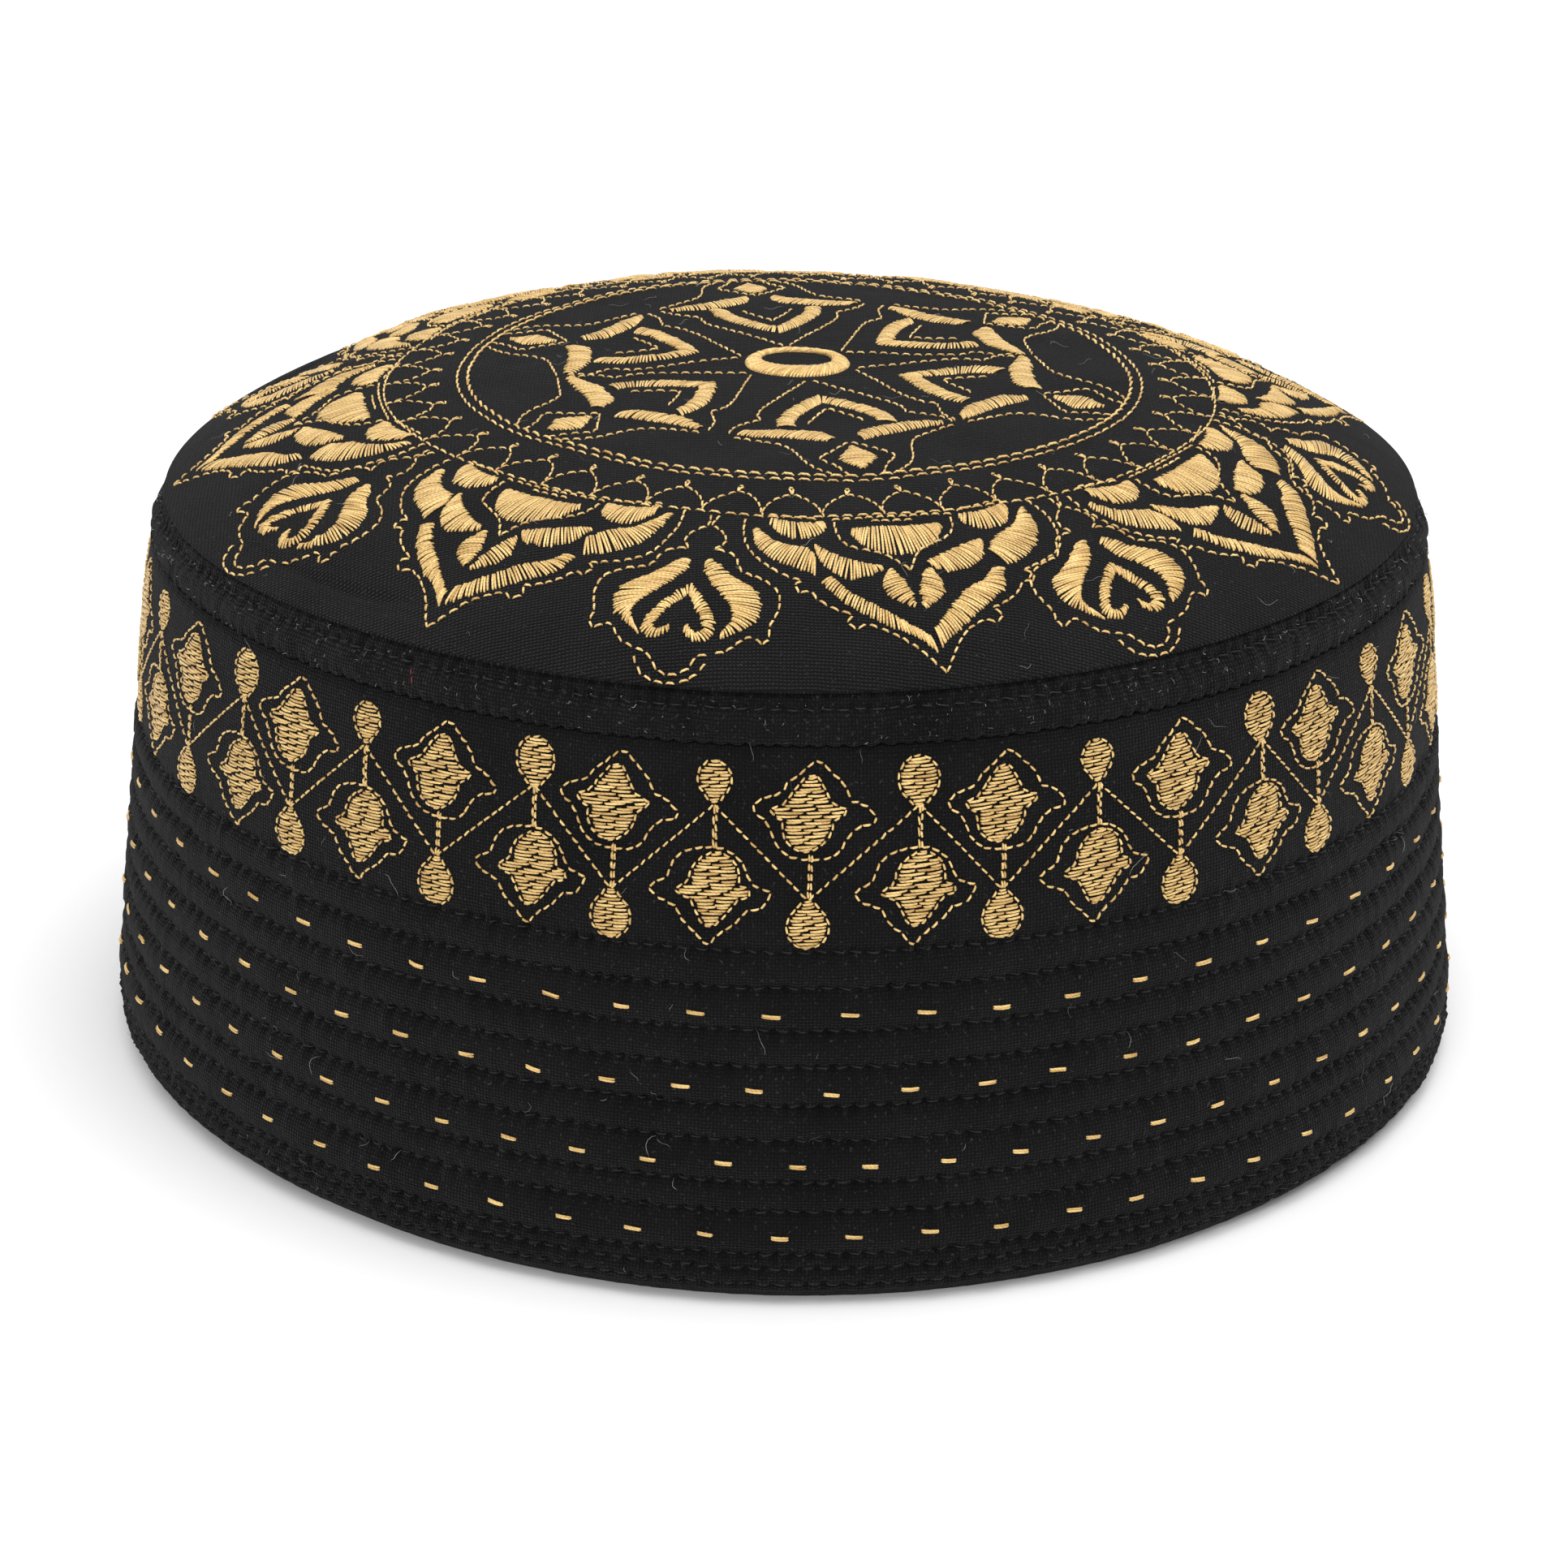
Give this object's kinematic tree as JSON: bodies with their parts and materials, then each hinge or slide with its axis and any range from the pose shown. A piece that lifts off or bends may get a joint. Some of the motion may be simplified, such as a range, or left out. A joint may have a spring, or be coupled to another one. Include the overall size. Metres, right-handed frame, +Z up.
{
  "type": "embroidered prayer cap",
  "caption": "Round prayer cap with a low domed crown, a narrow stitched top band and a quilted side wall, open underneath for the head.",
  "frame": {"origin": "middle of the rim, on the surface that the cap stands on", "axes": "+Z up through the crown, -Y towards the front of the cap, +X along the long way of the oval rim"},
  "size_m": [0.2006, 0.1878, 0.0983],
  "materials": {
    "side_cloth": "plain-weave black cotton, quilted in rows",
    "band_cloth": "plain-weave black cotton, topstitched, slightly fuzzy",
    "crown_cloth": "plain-weave black cotton",
    "gold_thread": "lustrous gold-coloured embroidery thread",
    "black_thread": "matt black sewing thread"
  },
  "bodies": {
    "root": {"side_wall": "side_cloth", "top_band": "band_cloth", "crown": "crown_cloth"}
  },
  "joints": []
}
